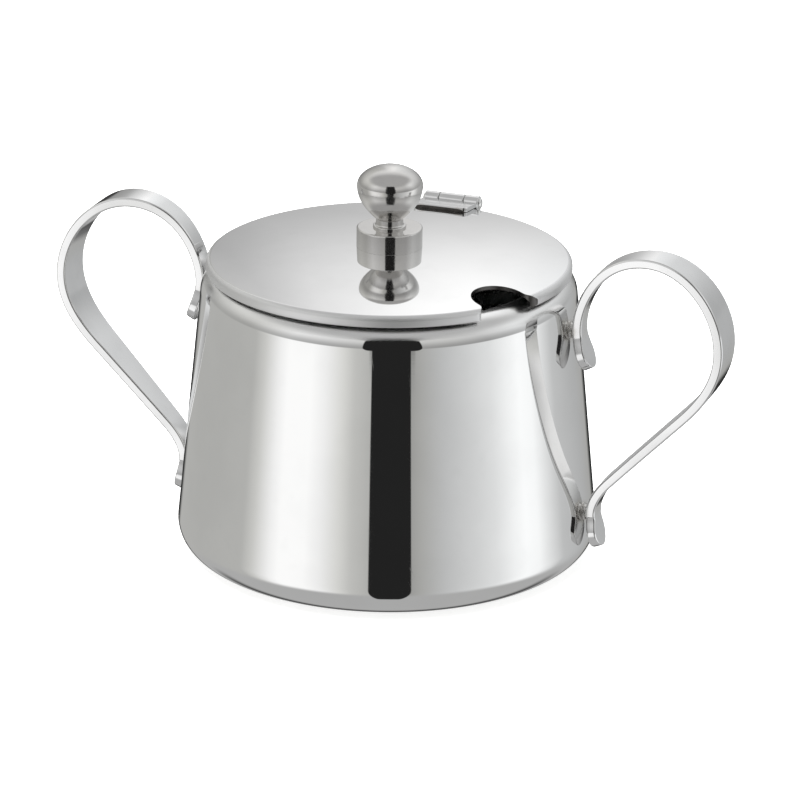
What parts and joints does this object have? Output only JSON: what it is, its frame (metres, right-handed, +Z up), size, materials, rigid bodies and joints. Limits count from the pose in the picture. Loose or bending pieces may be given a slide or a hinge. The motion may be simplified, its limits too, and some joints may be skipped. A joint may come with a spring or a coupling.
{
  "type": "hinged-lid sugar bowl",
  "caption": "Tapered polished metal sugar bowl with a domed hinged lid, ball knob, spoon notch and two looped strap handles.",
  "frame": {"origin": "centre of the foot, on the table", "axes": "+Z up through the knob; X through the two handles; +Y to the back, where the hinge is"},
  "size_m": [0.1446, 0.087, 0.0819],
  "materials": {
    "polished_sheet": "mirror-polished stainless steel",
    "foot_sheet": "polished stainless steel, lightly rubbed underneath",
    "polished_strap": "polished stainless strap",
    "polished_lid": "mirror-polished stainless steel",
    "hinge_metal": "polished, brazed at the edges",
    "turned_metal": "turned and polished, with fine turning lines",
    "pin_metal": "plain bright steel"
  },
  "bodies": {
    "bowl": {"bowl_shell": "polished_sheet", "base_plate": "foot_sheet", "left_handle": "polished_strap", "right_handle": "polished_strap", "hinge_body_leaf": "hinge_metal", "hinge_pin": "pin_metal"},
    "lid": {"lid_plate": "polished_lid", "hinge_lid_leaf": "hinge_metal", "knob_collar": "turned_metal", "knob_ball": "turned_metal", "knob_screw": "pin_metal", "knob_washer": "pin_metal"}
  },
  "joints": [
    {"name": "lid_hinge", "type": "hinge", "parent": "bowl", "child": "lid", "pos_m": [0, 0.0399, 0.0626], "axis": [-1, 0, 0], "range_deg": [0, 105]}
  ]
}
